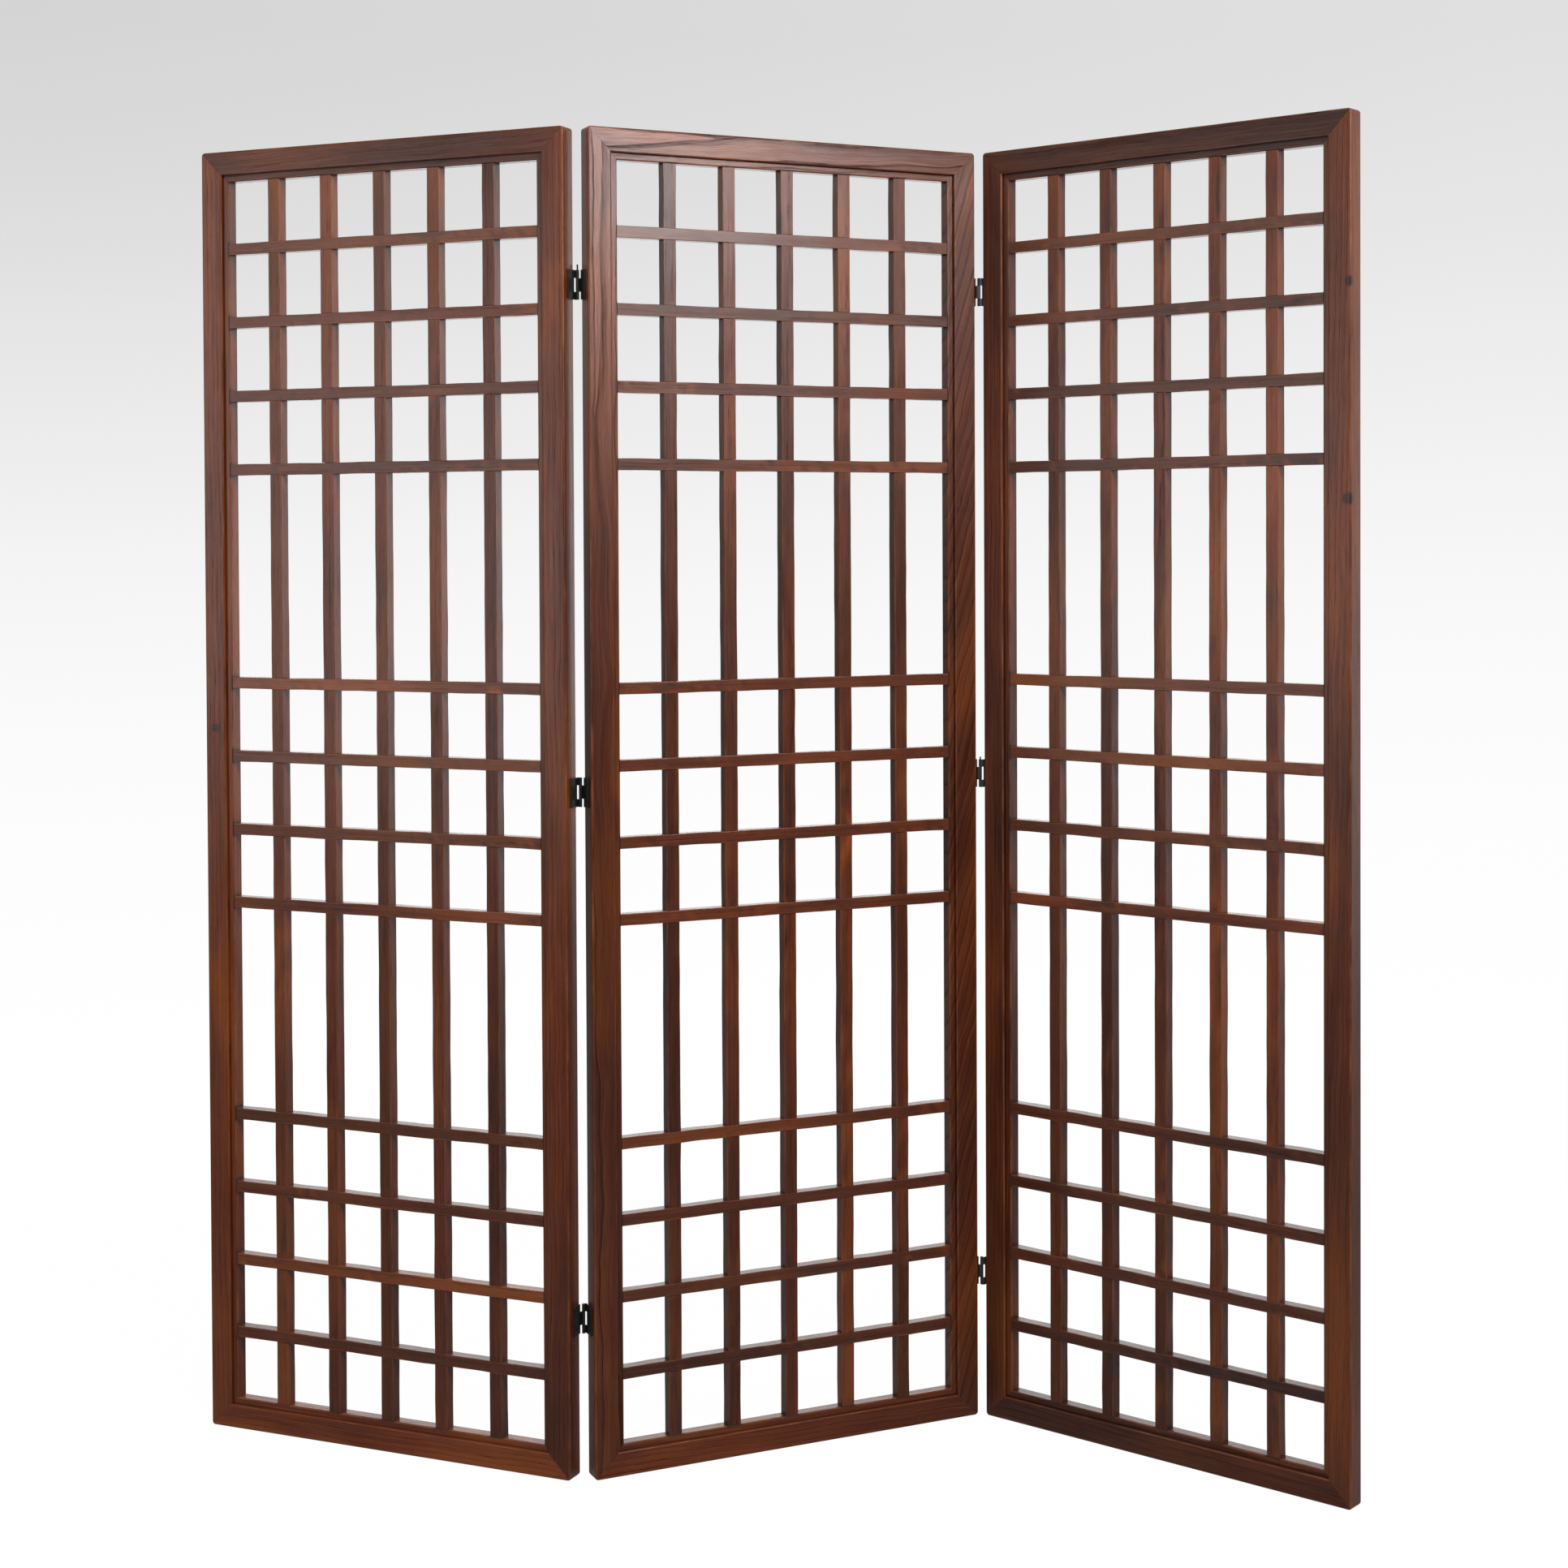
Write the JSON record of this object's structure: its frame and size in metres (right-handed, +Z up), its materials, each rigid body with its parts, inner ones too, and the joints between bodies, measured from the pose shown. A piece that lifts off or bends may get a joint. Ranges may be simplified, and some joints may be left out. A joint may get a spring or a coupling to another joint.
{
  "type": "folding screen",
  "caption": "Free-standing folding screen of open dark wood lattice panels in mitred, beaded frames, joined edge to edge by small black butt hinges so that it stands in a zigzag.",
  "frame": {"origin": "the middle of the middle panel's underside, on the floor", "axes": "+X across the middle panel to the viewer's right, +Y from its front to its back, +Z up"},
  "size_m": [1.2928, 1.0149, 1.83],
  "materials": {
    "stained_wood_frame": "open-grained hardwood under a dark red-brown stain and a thin hazy satin lacquer",
    "stained_wood_lattice": "the same stained and lacquered hardwood, a little different in tone from bar to bar",
    "black_hinge_metal": "black japanned steel, satin, rubbed at the knuckles",
    "screw_steel": "blackened steel with bright worn recess edges"
  },
  "bodies": {
    "left_panel": {"left_fold_bottom_hinge_left_leaf": "black_hinge_metal", "left_fold_middle_hinge_left_leaf": "black_hinge_metal", "left_fold_top_hinge_left_leaf": "black_hinge_metal", "left_panel_bottom_crossbars": "stained_wood_lattice", "left_panel_bottom_rail": "stained_wood_frame", "left_panel_left_stile": "stained_wood_frame", "left_panel_middle_crossbars": "stained_wood_lattice", "left_panel_right_stile": "stained_wood_frame", "left_panel_screws": "screw_steel", "left_panel_top_crossbars": "stained_wood_lattice", "left_panel_top_rail": "stained_wood_frame", "left_panel_upright_1": "stained_wood_lattice", "left_panel_upright_2": "stained_wood_lattice", "left_panel_upright_3": "stained_wood_lattice", "left_panel_upright_4": "stained_wood_lattice", "left_panel_upright_5": "stained_wood_lattice"},
    "middle_panel": {"left_fold_bottom_hinge_pin": "black_hinge_metal", "left_fold_bottom_hinge_right_leaf": "black_hinge_metal", "left_fold_middle_hinge_pin": "black_hinge_metal", "left_fold_middle_hinge_right_leaf": "black_hinge_metal", "left_fold_top_hinge_pin": "black_hinge_metal", "left_fold_top_hinge_right_leaf": "black_hinge_metal", "middle_panel_bottom_crossbars": "stained_wood_lattice", "middle_panel_bottom_rail": "stained_wood_frame", "middle_panel_left_screws": "screw_steel", "middle_panel_left_stile": "stained_wood_frame", "middle_panel_middle_crossbars": "stained_wood_lattice", "middle_panel_right_screws": "screw_steel", "middle_panel_right_stile": "stained_wood_frame", "middle_panel_top_crossbars": "stained_wood_lattice", "middle_panel_top_rail": "stained_wood_frame", "middle_panel_upright_1": "stained_wood_lattice", "middle_panel_upright_2": "stained_wood_lattice", "middle_panel_upright_3": "stained_wood_lattice", "middle_panel_upright_4": "stained_wood_lattice", "middle_panel_upright_5": "stained_wood_lattice", "right_fold_bottom_hinge_left_leaf": "black_hinge_metal", "right_fold_bottom_hinge_pin": "black_hinge_metal", "right_fold_middle_hinge_left_leaf": "black_hinge_metal", "right_fold_middle_hinge_pin": "black_hinge_metal", "right_fold_top_hinge_left_leaf": "black_hinge_metal", "right_fold_top_hinge_pin": "black_hinge_metal"},
    "right_panel": {"right_fold_bottom_hinge_right_leaf": "black_hinge_metal", "right_fold_middle_hinge_right_leaf": "black_hinge_metal", "right_fold_top_hinge_right_leaf": "black_hinge_metal", "right_panel_bottom_crossbars": "stained_wood_lattice", "right_panel_bottom_rail": "stained_wood_frame", "right_panel_left_stile": "stained_wood_frame", "right_panel_middle_crossbars": "stained_wood_lattice", "right_panel_right_stile": "stained_wood_frame", "right_panel_screws": "screw_steel", "right_panel_top_crossbars": "stained_wood_lattice", "right_panel_top_rail": "stained_wood_frame", "right_panel_upright_1": "stained_wood_lattice", "right_panel_upright_2": "stained_wood_lattice", "right_panel_upright_3": "stained_wood_lattice", "right_panel_upright_4": "stained_wood_lattice", "right_panel_upright_5": "stained_wood_lattice"}
  },
  "joints": [
    {"name": "left_fold", "type": "hinge", "parent": "middle_panel", "child": "left_panel", "pos_m": [-0.2998, 0.0166, 0.915], "axis": [0, 0, -1], "range_deg": [-63.8, 131.2]},
    {"name": "right_fold", "type": "hinge", "parent": "middle_panel", "child": "right_panel", "pos_m": [0.2998, -0.0166, 0.915], "axis": [0, 0, -1], "range_deg": [-79.9, 115.1]}
  ]
}
